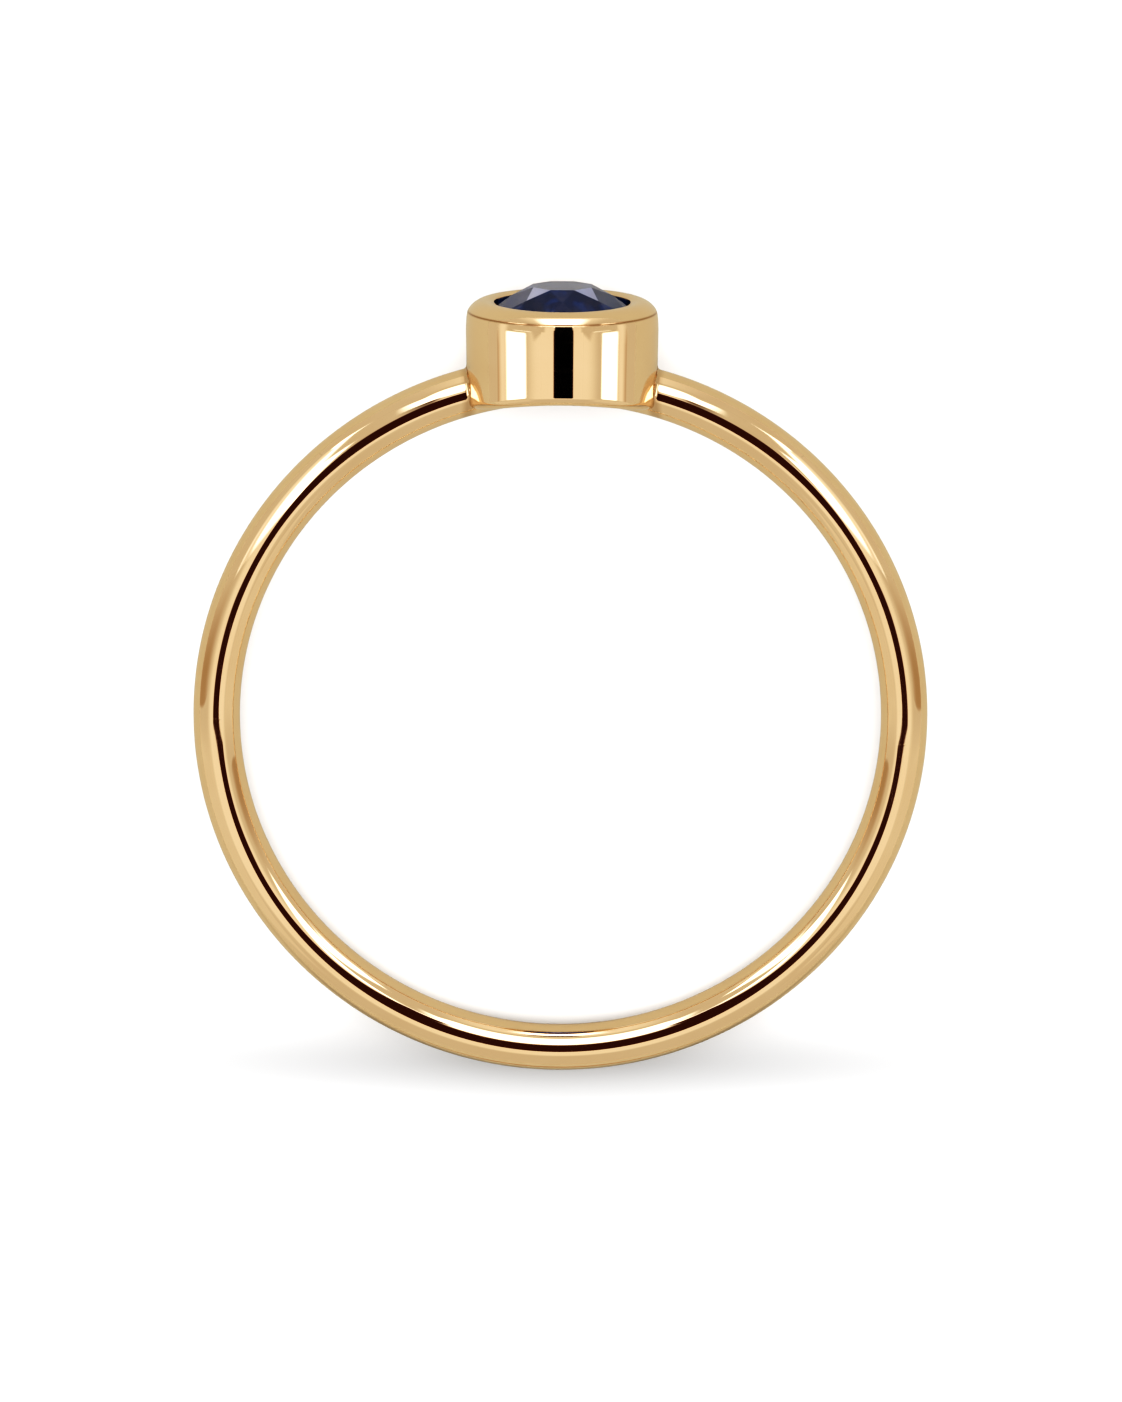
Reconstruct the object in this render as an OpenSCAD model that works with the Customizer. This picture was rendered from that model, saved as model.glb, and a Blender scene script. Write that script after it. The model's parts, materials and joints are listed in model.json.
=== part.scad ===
// Bezel ring: a plain band of round wire with one round stone in a rolled-rim cup.
// Millimetres. The ring lies on its side, as it rests on a table by itself:
// X runs across the band, Y from the band's back to the stone, and Z up from the surface.
// The origin is on the surface, under the middle of the ring's box.

/* [Band] */
// Inside diameter of the band, which is the ring size
finger_d = 17.2; // [16:0.1:19]
// Diameter of the round wire that the band is made of
wire_d = 1.25; // [1.1:0.05:1.4]
// Width of the solder fillet on the cup's wall
solder_w = 0.05; // [0.03:0.01:0.08]
// Length of the solder fillet along the wire
solder_l = 0.18; // [0.14:0.02:0.26]

/* [Bezel cup] */
// Outside diameter of the cup at its rim
cup_d = 5.07; // [4.95:0.01:5.3]
// Height of the rim's top above the finger circle
rim_top = 2.74; // [2.7:0.01:2.78]
// Thickness of the rolled rim
rim_roll = 1.1; // [1.05:0.01:1.15]
// Diameter of the opening inside the rim
lip_d = 3.58; // [3.4:0.02:3.7]
// Depth of the rim's inner edge below the rim's top
lip_drop = 0.065; // [0.05:0.005:0.08]
// Lean of the wall, in degrees: the cup is a little narrower at its foot
wall_draft = 0.9; // [0.8:0.1:1.6]
// Height of the foot above the finger circle, at the cup's front and back
foot_lift = 0.34; // [0.28:0.01:0.38]
// Diameter of the hollow that arches the foot over the finger
saddle_d = 12.8; // [12:0.1:16]
// Radius of the foot's rounded edge
foot_round = 0.36; // [0.28:0.02:0.4]
// Diameter of the open hole behind the stone
back_hole_d = 3; // [2.6:0.1:3.2]

/* [Stone] */
// Diameter of the round stone at its girdle
stone_d = 4; // [3.9:0.02:4.1]
// Height of the table above the finger circle
table_h = 3.13; // [3.1:0.01:3.2]
// Diameter of the circle through the table's corners
table_d = 1.66; // [1.5:0.02:1.9]
// Diameter of the circle through the tips of the star facets
star_d = 2.66; // [2.5:0.02:2.8]
// Height of the crown, from the girdle up to the table
crown_h = 0.742; // [0.7:0.01:0.78]
// Thickness of the girdle
girdle_h = 0.1; // [0.08:0.01:0.12]
// Height taken off the pavilion's point, which leaves a small flat culet
culet_cut = 0.04; // [0.02:0.01:0.08]
// Slope of the pavilion's main facets, in degrees
pavilion_slope = 41; // [40:0.5:42]
// Diameter of the circle through the tips of the lower girdle facets
lower_tip_d = 1; // [0.8:0.1:1.4]
// Gap left all round between the stone and its seat
seat_gap = 0.03; // [0.02:0.01:0.04]

/* [Hidden] */
$fn = 96;

// Band
finger_r = finger_d / 2;
wire_r = wire_d / 2;
band_r = finger_r + wire_r;

// Cup, in heights from the ring's centre
rim_r = rim_roll / 2;
rim_path_r = cup_d / 2 - rim_r;
rim_h = finger_r + rim_top - rim_r;
rim_step = 0.005;
wall_top_r = cup_d / 2 - rim_step;
wall_low_h = finger_r - wire_r;
wall_low_r = wall_r(wall_low_h);
back_hole_r = back_hole_d / 2;
lip_r = lip_d / 2;
lip_h = finger_r + rim_top - lip_drop;

// Foot: the saddle is a drum across the finger, and flares at both ends to round the edge
saddle_r = saddle_d / 2;
foot_h = finger_r + foot_lift;
saddle_h = foot_h - saddle_r;
drum_l = 1.5 * cup_d;
round_sink = 0.02;
round_shift = 0.01;
round_h = foot_h + foot_round - round_sink;
round_z = wall_r(round_h) - foot_round + round_shift;
edge_z = wall_r(foot_h + foot_round / 2);
edge_h = round_h - sqrt(pow(foot_round, 2) - pow(edge_z - round_z, 2));

// Solder: a short cone round the wire, from inside the wall outwards
solder_root = 0.15;
solder_a = asin((wall_r(finger_r) - solder_root) / band_r);
solder_tip = 0.01;
solder_rise = (solder_w - solder_tip) / solder_l;
solder_r = wire_r + solder_w + solder_rise * solder_root;
finger_relief = 0.05;

// Stone: rows of eight and sixteen facets
stone_r = stone_d / 2;
mains = 8;
halves = 2 * mains;
main_turn = 180 / mains;
half_turn = 180 / halves;
table_top = finger_r + table_h;
girdle_top = table_top - crown_h;
girdle_low = girdle_top - girdle_h;
table_r = table_d / 2;
table_flat_r = table_r * cos(main_turn);
star_r = star_d / 2;
main_fall = crown_h / (stone_r - table_r);
star_drop = main_fall * (star_r * cos(main_turn) - table_r);
star_slope = atan(star_drop / (star_r - table_flat_r));
main_slope = atan(main_fall);
half_reach = stone_r * cos(half_turn);
upper_slope = atan((crown_h - star_drop) / (half_reach - star_r * cos(half_turn)));
lower_tip_r = lower_tip_d / 2;
lower_tip_drop = tan(pavilion_slope) * (stone_r - lower_tip_r * cos(main_turn));
lower_slope = atan(lower_tip_drop / (half_reach - lower_tip_r * cos(half_turn)));
culet_h = girdle_low - stone_r * tan(pavilion_slope) + culet_cut;

// Seat
recess_r = stone_r + seat_gap;

// Rest: the ring leans on the far side of its wire and on the foot's edge
edge_reach = edge_h + band_r;
rest_tilt = atan(edge_z / edge_reach) - asin(wire_r / norm([edge_reach, edge_z]));
rest_lift = edge_z * cos(rest_tilt) - edge_h * sin(rest_tilt);
high_y = table_top * cos(rest_tilt) + table_flat_r * sin(rest_tilt);
low_y = -band_r * cos(rest_tilt) - wire_r;
mid_y = (high_y + low_y) / 2;

// Radius of the cup's wall at a height from the ring's centre
function wall_r(h) = wall_top_r - (rim_h - h) * tan(wall_draft);

// Height of the stone's seat at a radius from the cup's axis
function seat_h(r) = girdle_low - seat_gap - (stone_r - r) * tan(lower_slope);

// Lays the ring down: children are drawn upright in XY, with the stone towards +Y
module lay_down() {
  translate([0, -mid_y, rest_lift])
    rotate([rest_tilt, 0, 0])
      children();
}

// Turns what is drawn about Z, at heights from the ring's centre, to the stone's place
module towards_stone() {
  rotate([-90, 0, 0])
    children();
}

// The band: one closed hoop of round wire
module hoop() {
  rotate_extrude()
    translate([band_r, 0])
      circle(r = wire_r);
}

// The two solder fillets, kept out of the finger hole
module solder_fillets() {
  for (side = [0, 1])
    mirror([side, 0, 0])
      difference() {
        rotate([0, 0, -solder_a])
          translate([0, band_r, 0])
            rotate([0, 90, 0])
              cylinder(h = solder_root + solder_l, r1 = solder_r, r2 = wire_r + solder_tip);
        cylinder(h = 2 * wire_d, r = finger_r + finger_relief, center = true);
      }
}

// The cup's outside: a drafted wall under a rolled rim
module cup_outside() {
  translate([0, 0, wall_low_h])
    cylinder(h = rim_h - wall_low_h, r1 = wall_low_r, r2 = wall_top_r);
  translate([0, 0, rim_h])
    rotate_extrude()
      translate([rim_path_r, 0])
        circle(r = rim_r);
}

// What the cup's inside takes away: back hole, seat, girdle recess and rim opening
module cup_inside() {
  rotate_extrude()
    polygon([
      [0, wall_low_h - wire_d],
      [back_hole_r, wall_low_h - wire_d],
      [back_hole_r, seat_h(back_hole_r)],
      [recess_r, seat_h(recess_r)],
      [recess_r, girdle_top + seat_gap],
      [lip_r, lip_h],
      [lip_r, table_top],
      [0, table_top]
    ]);
}

// What arches the foot over the finger, with a rounded edge at the front and the back
module saddle_cut() {
  translate([0, saddle_h, 0]) {
    cylinder(h = drum_l, r = saddle_r, center = true);
    for (side = [0, 1])
      mirror([0, 0, side])
        rotate_extrude()
          difference() {
            translate([saddle_r - foot_round, round_z])
              square([2 * foot_round, drum_l / 2 - round_z]);
            translate([round_h - saddle_h, round_z])
              circle(r = foot_round);
          }
  }
}

// Takes away what lies above a row of facets, each through a radius and a height
module facet_row(count, turn, radius, height, slope) {
  for (i = [0:count - 1])
    rotate([0, 0, turn + i * 360 / count])
      translate([radius, 0, height])
        rotate([0, slope, 0])
          translate([-stone_d, -stone_d, 0])
            cube([2 * stone_d, 2 * stone_d, stone_d]);
}

// The same below the girdle, with heights measured downwards
module facet_row_below(count, turn, radius, slope) {
  translate([0, 0, girdle_low])
    mirror([0, 0, 1])
      facet_row(count, turn, radius, 0, slope);
}

// The metal: band, cup and solder are one soldered piece
module band_and_bezel() {
  color([0.83, 0.68, 0.46])
    lay_down()
      difference() {
        union() {
          hoop();
          solder_fillets();
          difference() {
            towards_stone()
              cup_outside();
            saddle_cut();
          }
        }
        towards_stone()
          cup_inside();
      }
}

// The stone: a round brilliant with a flat edge of its table towards each side
module stone() {
  color([0.1, 0.13, 0.27])
    lay_down()
      towards_stone()
        difference() {
          translate([0, 0, culet_h])
            cylinder(h = table_top - culet_h, r = stone_r);
          facet_row(mains, 0, table_flat_r, table_top, star_slope);
          facet_row(mains, main_turn, table_r, table_top, main_slope);
          facet_row(halves, half_turn, half_reach, girdle_top, upper_slope);
          facet_row_below(mains, main_turn, stone_r, pavilion_slope);
          facet_row_below(halves, half_turn, half_reach, lower_slope);
        }
}

band_and_bezel();
stone();
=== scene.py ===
"""Looks of a bezel ring: polished yellow gold round a deep blue brilliant, lying on a pale floor.

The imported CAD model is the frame. Everything here is in metres in the frame's own axes. The metal is
rebuilt as one finely divided mesh that stands for its CAD node, and the stone keeps its CAD node.
Most sizes are given in the ring's own axes: x across the band, y from the finger's centre towards the
stone, and z along the finger. RingPlace turns them into the frame, where the ring lies on its side.
"""

import json
import logging
import math
from dataclasses import dataclass, replace
from enum import Enum

import bmesh
import bpy
from mathutils import Matrix, Vector

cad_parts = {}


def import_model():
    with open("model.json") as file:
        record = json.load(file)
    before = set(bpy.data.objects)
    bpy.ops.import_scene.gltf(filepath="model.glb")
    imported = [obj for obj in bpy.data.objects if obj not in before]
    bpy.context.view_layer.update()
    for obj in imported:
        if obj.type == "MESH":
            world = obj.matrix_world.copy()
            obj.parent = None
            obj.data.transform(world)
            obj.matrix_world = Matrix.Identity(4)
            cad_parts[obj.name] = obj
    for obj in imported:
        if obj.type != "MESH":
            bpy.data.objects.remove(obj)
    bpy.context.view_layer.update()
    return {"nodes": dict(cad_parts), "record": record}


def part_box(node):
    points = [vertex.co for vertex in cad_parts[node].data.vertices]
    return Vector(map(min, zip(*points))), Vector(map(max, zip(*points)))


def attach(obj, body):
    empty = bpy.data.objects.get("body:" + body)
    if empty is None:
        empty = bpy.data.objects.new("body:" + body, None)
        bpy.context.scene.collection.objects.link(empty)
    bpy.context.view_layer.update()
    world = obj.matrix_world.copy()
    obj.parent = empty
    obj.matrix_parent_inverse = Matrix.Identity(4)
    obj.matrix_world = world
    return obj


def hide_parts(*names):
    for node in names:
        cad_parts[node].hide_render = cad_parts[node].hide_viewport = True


MM = 0.001
BODY = "root"
METAL_NODE = "band_and_bezel"
STONE_NODE = "stone"
# How far the painted shade in the groove under the rim reaches, and where the painted shade at the solder
# seam is full and gone
GROOVE_SHADE_REACH = 0.045 * MM
SEAM_SHADE_FULL = 0.066 * MM
SEAM_SHADE_REACH = 0.22 * MM
FOOT_HOLD = 0.02 * MM
COMBINED_CURVE = 3
TONE_CURVE = ((0.07, 0.022), (0.18, 0.105), (0.30, 0.232), (0.45, 0.42), (0.63, 0.645))

logging.basicConfig(level=logging.INFO, format="%(message)s")
log = logging.getLogger("ring")

Pair = tuple[float, float]
Triple = tuple[float, float, float]
Colour = tuple[float, float, float, float]
Profile = list[Pair]
# Arcs of a profile: each one's radius, below 0 for a hollow, how far its end leans in, and its steps
Arcs = tuple[tuple[float, float, int], ...]
Node = bpy.types.Node
Socket = bpy.types.NodeSocket
NodeGroup = bpy.types.ShaderNodeTree


class Slot(Enum):
    """The record's material slots."""

    GOLD = "gold"
    SAPPHIRE = "sapphire"


def arc(centre: Pair, radius: float, start: float, end: float, steps: int) -> Profile:
    """Points along an arc of a profile.

    Args:
        centre: The arc's centre, as distance from the axis and height.
        radius: The arc's radius.
        start: Angle of the first point in degrees, from straight outwards, up being positive.
        end: Angle of the last point in degrees.
        steps: How many straight pieces the arc gets.

    Returns:
        The points, both ends included.
    """
    points = []
    for i in range(steps + 1):
        angle = math.radians(start + (end - start) * i / steps)
        points.append((centre[0] + radius * math.cos(angle), centre[1] + radius * math.sin(angle)))
    return points


def climb(points: Profile, tilt: float, arcs: Arcs) -> float:
    """Goes on from the last point of a profile along arcs that run smoothly into each other.

    Args:
        points: The profile, which grows.
        tilt: How far the surface leans in at the start, in degrees.
        arcs: The arcs, in order.

    Returns:
        How far it leans in at the end, in degrees.
    """
    for radius, end, steps in arcs:
        last_r, last_h = points[-1]
        angle = math.radians(tilt)
        centre = (last_r - radius * math.cos(angle), last_h - radius * math.sin(angle))
        points += arc(centre, radius, tilt, end, steps)[1:]
        tilt = end
    return tilt


def ease(value: float) -> float:
    """Smooth step from 0 to 1 as value goes from 0 to 1."""
    t = min(1.0, max(0.0, value))
    return t * t * (3 - 2 * t)


@dataclass
class RingPlace:
    """Where the ring lies in the frame, read from the mount that its finger hole states.

    Attributes:
        centre: The middle of the finger circle.
        finger_r: Radius of the finger circle.
        wire_d: Diameter of the band's wire.
        to_frame: Turns and moves ring coordinates into the frame.
    """

    centre: Vector
    finger_r: float
    wire_d: float
    to_frame: Matrix

    @classmethod
    def from_record(cls, record: dict) -> "RingPlace":
        """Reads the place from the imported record.


        Returns:
            The ring's place.
        """
        seat = next(m for m in record["mounts"] if m["name"] == "finger_seat")
        centre = Vector(seat["pos_m"])
        along = Vector(seat["axis"]).normalized()
        across = Vector((1, 0, 0))
        up = along.cross(across)
        turn = Matrix((across, up, along)).transposed().to_4x4()
        place = Matrix.Translation(centre) @ turn
        return cls(centre, seat["dims"]["r_mm"] * MM, seat["dims"]["length_mm"] * MM, place)

    def direction(self, x: float, y: float, z: float) -> Vector:
        """A direction of the ring's own axes, in the frame."""
        return (self.to_frame.to_3x3() @ Vector((x, y, z))).normalized()


def new_object(name: str, bm: bmesh.types.BMesh) -> bpy.types.Object:
    """Makes an object at the origin from a bmesh, and frees the bmesh.

    Args:
        name: The object's name.
        bm: The mesh, with its place in its vertices.

    Returns:
        The linked object.
    """
    mesh = bpy.data.meshes.new(name)
    bm.to_mesh(mesh)
    bm.free()
    made = bpy.data.objects.new(name, mesh)
    bpy.context.scene.collection.objects.link(made)
    return made


def sort_parts(bm: bmesh.types.BMesh) -> None:
    """Sorts a mesh's parts by their places, because a boolean can give them in any order.

    Args:
        bm: The mesh.
    """
    for parts, key in (
        (bm.verts, lambda vert: tuple(vert.co)),
        (bm.edges, lambda edge: sorted(vert.index for vert in edge.verts)),
        (bm.faces, lambda face: sorted(vert.index for vert in face.verts)),
    ):
        for i, part in enumerate(sorted(parts, key=key)):
            part.index = i
        parts.sort()


class NodeBench:
    """A small helper that adds and joins shader nodes in one tree.

    Args:
        tree: The node tree to work in.
    """

    def __init__(self, tree: bpy.types.NodeTree) -> None:
        """Starts on an empty tree."""
        self.tree = tree
        tree.nodes.clear()

    def add(self, kind: str, **settings: object) -> Node:
        """Adds a node.

        Args:
            kind: The node's Blender type name.
            settings: Attributes to set on the node.

        Returns:
            The new node.
        """
        node = self.tree.nodes.new(kind)
        for name, value in settings.items():
            setattr(node, name, value)
        return node

    def join(self, source: Socket, target: Socket) -> None:
        """Links an output to an input."""
        self.tree.links.new(source, target)

    def feed(self, socket: Socket, value: object) -> None:
        """Gives an input what it reads.

        Args:
            socket: The input.
            value: An output to link it to, or its own value.
        """
        if isinstance(value, Socket):
            self.join(value, socket)
        else:
            socket.default_value = value

    def math(self, operation: str, first: object, second: object = 0.0) -> Socket:
        """Adds a math node.

        Args:
            operation: The operation's name.
            first: A socket or a number.
            second: A socket or a number.

        Returns:
            The node's output.
        """
        node = self.add("ShaderNodeMath", operation=operation)
        self.feed(node.inputs[0], first)
        self.feed(node.inputs[1], second)
        return node.outputs[0]

    def vector(self, operation: str, first: object, second: object = (0.0, 0.0, 0.0)) -> Socket:
        """Adds a vector math node.

        Args:
            operation: The operation's name.
            first: A socket or a vector.
            second: A socket or a vector.

        Returns:
            The number or the vector that the operation gives.
        """
        node = self.add("ShaderNodeVectorMath", operation=operation)
        self.feed(node.inputs[0], first)
        self.feed(node.inputs[1], second)
        return node.outputs["Value" if operation in ("DOT_PRODUCT", "LENGTH") else "Vector"]

    def blend(self, factor: Socket, first: object, second: object) -> Socket:
        """Adds a node that mixes two colours.

        Args:
            factor: The share of the second colour.
            first: A socket or a colour.
            second: A socket or a colour.

        Returns:
            The mixed colour.
        """
        node = self.add("ShaderNodeMix", data_type="RGBA")
        self.join(factor, node.inputs["Factor"])
        self.feed(node.inputs["A"], first)
        self.feed(node.inputs["B"], second)
        return node.outputs["Result"]

    def noise(self, where: Socket, scale: object, detail: float, warp: float = 0.0) -> Socket:
        """Adds a noise texture.

        Args:
            where: The coordinates that it reads.
            scale: A socket or a number that says how many of its largest spots go into a metre.
            detail: How many finer layers it has.
            warp: How far its spots are drawn out.

        Returns:
            The noise, around 0.5.
        """
        node = self.add("ShaderNodeTexNoise")
        for name, value in (("Vector", where), ("Scale", scale), ("Detail", detail), ("Distortion", warp)):
            self.feed(node.inputs[name], value)
        return node.outputs["Fac"]

    def span(self, value: Socket, source: Pair, to: Pair = (0.0, 1.0), kind: str = "LINEAR") -> Socket:
        """Maps a value from one range to another and clamps it.

        Args:
            value: The value.
            source: The two values that map to the ends of the other range.
            to: What they map to.
            kind: How it goes from one to the other.

        Returns:
            The mapped value.
        """
        node = self.add("ShaderNodeMapRange", interpolation_type=kind)
        for name, number in zip(("From Min", "From Max", "To Min", "To Max"), (*source, *to)):
            node.inputs[name].default_value = number
        self.join(value, node.inputs["Value"])
        return node.outputs["Result"]

    def hypot(self, first: Socket, second: Socket) -> Socket:
        """Adds the long side of a right triangle with these two short ones."""
        squares = [self.math("POWER", side, 2.0) for side in (first, second)]
        return self.math("SQRT", self.math("ADD", *squares))

    def shader(self, kind: str, colour: Triple) -> Socket:
        """Adds a shader of one plain colour.

        Args:
            kind: The shader node's Blender type name.
            colour: Its red, green and blue.

        Returns:
            The shader.
        """
        node = self.add(kind)
        node.inputs["Color"].default_value = (*colour, 1.0)
        return node.outputs[0]

    def mix(self, share: Socket, first: Socket, second: Socket) -> Socket:
        """Adds a node that mixes two shaders.

        Args:
            share: The share of the second shader.
            first: A shader.
            second: A shader.

        Returns:
            The mixed shader.
        """
        node = self.add("ShaderNodeMixShader")
        for source, target in zip((share, first, second), node.inputs):
            self.join(source, target)
        return node.outputs["Shader"]

    def by_ray(self, ray: str, seen: Socket, rest: Socket) -> Socket:
        """Shows one shader to one kind of ray and another to the rest.

        Args:
            ray: The Light Path output that tells them apart.
            seen: The shader that the named kind of ray meets.
            rest: The shader for all the others.

        Returns:
            The mixed shader.
        """
        path = self.add("ShaderNodeLightPath")
        return self.mix(path.outputs[ray], rest, seen)

    def placed(self, group: NodeGroup, where: Node, values: dict[str, object]) -> Node:
        """Adds a node group that reads Object coordinates.

        Args:
            group: The node group, with an input Vector.
            where: The material's Texture Coordinate node.
            values: Values of the group's other inputs, by their names.

        Returns:
            The group's node.
        """
        node = self.add("ShaderNodeGroup", node_tree=group)
        for name, value in values.items():
            node.inputs[name].default_value = value
        self.join(where.outputs["Object"], node.inputs["Vector"])
        return node


def new_material(name: str) -> tuple[bpy.types.Material, NodeBench, Node]:
    """Starts a material.

    Args:
        name: The material's name.

    Returns:
        The material, the bench that works in its tree, and its output node.
    """
    material = bpy.data.materials.new(name)
    material.use_nodes = True
    bench = NodeBench(material.node_tree)
    return material, bench, bench.add("ShaderNodeOutputMaterial")


def new_group(
    name: str, inputs: dict[str, str], outputs: tuple[str, ...]
) -> tuple[NodeBench, Node, Node]:
    """Starts a shader node group.

    Args:
        name: The group's name.
        inputs: Its inputs' names, each with its kind, such as Vector or Float.
        outputs: Its outputs' names, each of which is a number.

    Returns:
        The bench that works in it, its input node and its output node.
    """
    bench = NodeBench(bpy.data.node_groups.new(name, "ShaderNodeTree"))
    sockets = bench.tree.interface
    for label, kind in inputs.items():
        sockets.new_socket(label, in_out="INPUT", socket_type=f"NodeSocket{kind}")
    for label in outputs:
        sockets.new_socket(label, in_out="OUTPUT", socket_type="NodeSocketFloat")
    return bench, bench.add("NodeGroupInput"), bench.add("NodeGroupOutput")


@dataclass(frozen=True)
class HandlingMarks:
    """The marks that handling leaves on any polished surface: smudges and hairline scratches.

    Each span is the noise between which something fades in.
    """

    smudge_span: Pair = (0.42, 0.68)
    tone_span: Pair = (0.3, 0.7)
    hair_span: Pair = (0.66, 0.74)
    # How far the smudges are drawn out, and for each set of scratches its turn and its stretch
    warp: float = 0.6
    hair_runs: tuple[tuple[Triple, Triple], ...] = (
        ((0.3, 0.2, 0.9), (0.06, 1.0, 1.0)),
        ((1.1, -0.4, 0.2), (1.0, 0.05, 1.0)),
    )

    def make(self) -> NodeGroup:
        """Builds the node group.

        Returns:
            A node group with inputs Vector, Smudge Scale and Scratch Scale, and outputs Smudge, Scratch and
            Tone, all from 0 to 1.
        """
        inputs = {"Vector": "Vector", "Smudge Scale": "Float", "Scratch Scale": "Float"}
        bench, given, result = new_group("handling_marks", inputs, ("Smudge", "Scratch", "Tone"))
        smudge = bench.noise(given.outputs["Vector"], given.outputs["Smudge Scale"], 3.0, self.warp)
        bench.join(bench.span(smudge, self.smudge_span), result.inputs["Smudge"])
        bench.join(bench.span(smudge, self.tone_span), result.inputs["Tone"])
        hairs = []
        for turn, stretch in self.hair_runs:
            mapping = bench.add("ShaderNodeMapping")
            mapping.inputs["Rotation"].default_value = turn
            mapping.inputs["Scale"].default_value = stretch
            bench.join(given.outputs["Vector"], mapping.inputs["Vector"])
            hair = bench.noise(mapping.outputs["Vector"], given.outputs["Scratch Scale"], 2.0)
            hairs.append(bench.span(hair, self.hair_span))
        bench.join(bench.math("MAXIMUM", *hairs), result.inputs["Scratch"])
        return bench.tree


def from_axis(bench: NodeBench, arm: Socket, axis: Vector) -> tuple[Socket, Socket]:
    """Measures a point against an axis through the finger circle's centre.

    Args:
        bench: The tree to work in.
        arm: The point, from that centre.
        axis: The axis's direction.

    Returns:
        How far the point is along the axis, and how far away from it.
    """
    across = bench.vector("CROSS_PRODUCT", arm, axis)
    return bench.vector("DOT_PRODUCT", arm, axis), bench.vector("LENGTH", across)


def near_circle(place: RingPlace, radius: float, height: float, reach: float) -> NodeGroup:
    """Finds what lies close to a circle round the cup's axis.

    Args:
        place: The ring's place.
        radius: The circle's radius.
        height: Its height from the finger circle's centre, towards the stone.
        reach: Distance from it at which the mask has faded out.

    Returns:
        A node group with input Vector, in object coordinates, and output Mask, from 0 to 1.
    """
    bench, given, result = new_group("near_circle", {"Vector": "Vector"}, ("Mask",))
    arm = bench.vector("SUBTRACT", given.outputs["Vector"], place.centre)
    along, away = from_axis(bench, arm, place.direction(0, 1, 0))
    gap = bench.hypot(bench.math("SUBTRACT", along, height), bench.math("SUBTRACT", away, radius))
    bench.join(bench.span(gap, (0.0, reach), (1.0, 0.0)), result.inputs["Mask"])
    return bench.tree


def near_joint(place: RingPlace, cup_r: float, full: float, reach: float) -> NodeGroup:
    """Finds the solder seam where the wire runs into the cup's wall, for the shade painted there.

    Args:
        place: The ring's place.
        cup_r: Radius of the cup's wall.
        full: Distance from the joint up to which the mask is full.
        reach: Distance at which it has faded out.

    Returns:
        A node group with input Vector, in object coordinates, and output Mask, from 0 to 1.
    """
    bench, given, result = new_group("near_joint", {"Vector": "Vector"}, ("Mask",))
    arm = bench.vector("SUBTRACT", given.outputs["Vector"], place.centre)
    wire_r = place.wire_d / 2
    side, hoop_r = from_axis(bench, arm, place.direction(0, 0, 1))
    height, cup_away = from_axis(bench, arm, place.direction(0, 1, 0))
    wire_away = bench.hypot(bench.math("SUBTRACT", hoop_r, place.finger_r + wire_r), side)
    gaps = []
    for away, surface in ((wire_away, wire_r), (cup_away, cup_r)):
        gaps.append(bench.math("ABSOLUTE", bench.math("SUBTRACT", away, surface)))
    close = bench.span(bench.math("MAXIMUM", *gaps), (full, reach), (1.0, 0.0))
    stone_side = bench.span(height, (0.0, wire_r))
    bench.join(bench.math("MULTIPLY", close, stone_side), result.inputs["Mask"])
    return bench.tree


@dataclass(frozen=True)
class PolishedGold:
    """Mirror-polished yellow gold with the faint marks of wear, and painted shade in the groove under the
    rim and at the solder seam.
    """

    # Reflectance of the clean metal and where hands have dulled it, and the darker painted shade at the
    # solder seam and in the groove
    colour: Colour = (0.93, 0.725, 0.50, 1.0)
    worn_colour: Colour = (0.90, 0.69, 0.465, 1.0)
    seam_shade_colour: Colour = (0.70, 0.51, 0.32, 1.0)
    groove_shade_colour: Colour = (0.40, 0.22, 0.10, 1.0)
    # Roughness of the clean metal and in a smudge, and what a scratch adds to it
    smooth: float = 0.03
    dull: float = 0.06
    scratch_rough: float = 0.03
    scratch_depth: float = 0.00004 * MM
    # Spots and scratches per metre
    smudge_scale: float = 420.0
    scratch_scale: float = 5200.0

    def make(self, name: str, marks: NodeGroup, crease: NodeGroup, seam: NodeGroup) -> bpy.types.Material:
        """Builds the material.

        Args:
            name: The material's name.
            marks: The shared group of handling marks.
            crease: The group that finds the groove under the rim, where shade is painted.
            seam: The group that finds the solder seam, where shade is painted.

        Returns:
            The material.
        """
        material, bench, out = new_material(name)
        shader = bench.add("ShaderNodeBsdfPrincipled")
        bench.join(shader.outputs["BSDF"], out.inputs["Surface"])
        shader.inputs["Metallic"].default_value = 1.0
        where = bench.add("ShaderNodeTexCoord")
        scales = {"Smudge Scale": self.smudge_scale, "Scratch Scale": self.scratch_scale}
        worn = bench.placed(marks, where, scales)
        colour = bench.blend(worn.outputs["Tone"], self.colour, self.worn_colour)
        # Painted shade: the groove and the solder seam are tinted darker where shade falls
        for place, tint in ((crease, self.groove_shade_colour), (seam, self.seam_shade_colour)):
            mask = bench.placed(place, where, {}).outputs["Mask"]
            colour = bench.blend(mask, colour, tint)
        bench.join(colour, shader.inputs["Base Color"])
        rough = bench.span(worn.outputs["Smudge"], (0.0, 1.0), (self.smooth, self.dull))
        scored = bench.math("MULTIPLY", worn.outputs["Scratch"], self.scratch_rough)
        bench.join(bench.math("ADD", rough, scored), shader.inputs["Roughness"])
        bump = bench.add("ShaderNodeBump")
        bump.inputs["Strength"].default_value = 1.0
        bump.inputs["Distance"].default_value = self.scratch_depth
        bench.join(bench.math("MULTIPLY", worn.outputs["Scratch"], -1.0), bump.inputs["Height"])
        bench.join(bump.outputs["Normal"], shader.inputs["Normal"])
        return material


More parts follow.
